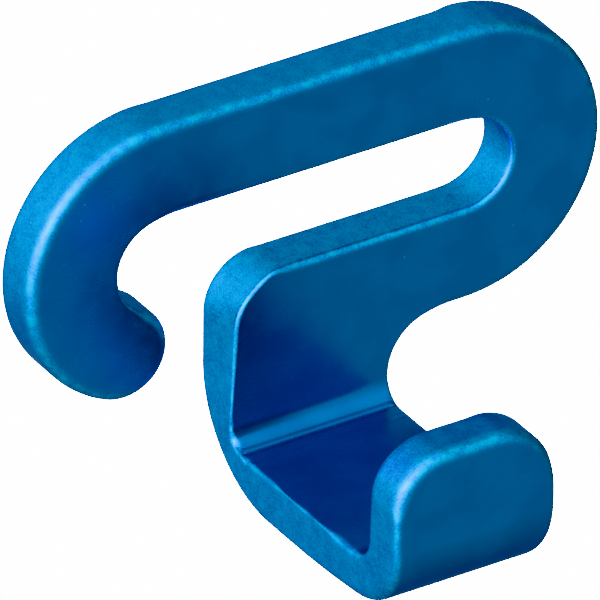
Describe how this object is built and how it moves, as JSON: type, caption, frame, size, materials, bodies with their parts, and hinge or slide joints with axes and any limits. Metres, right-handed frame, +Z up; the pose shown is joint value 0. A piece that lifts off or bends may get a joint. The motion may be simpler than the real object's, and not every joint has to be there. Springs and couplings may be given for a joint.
{
  "type": "webbing accessory hook",
  "caption": "Blue anodised aluminium hook that clips onto flat harness webbing through an open-ended slot and carries gear in a J-shaped cradle.",
  "frame": {"origin": "centre of the webbing slot, on the flat back face that lies against the wearer's side", "axes": "+Z up as worn, +X along the webbing slot towards its closed end, -Y out towards the cradle and the carried gear, +Y out of the flat back face"},
  "size_m": [0.0734, 0.0402, 0.0493],
  "materials": {
    "anodised_aluminium": "satin blue anodised"
  },
  "bodies": {
    "root": {"webbing_hook": "anodised_aluminium"}
  },
  "joints": []
}
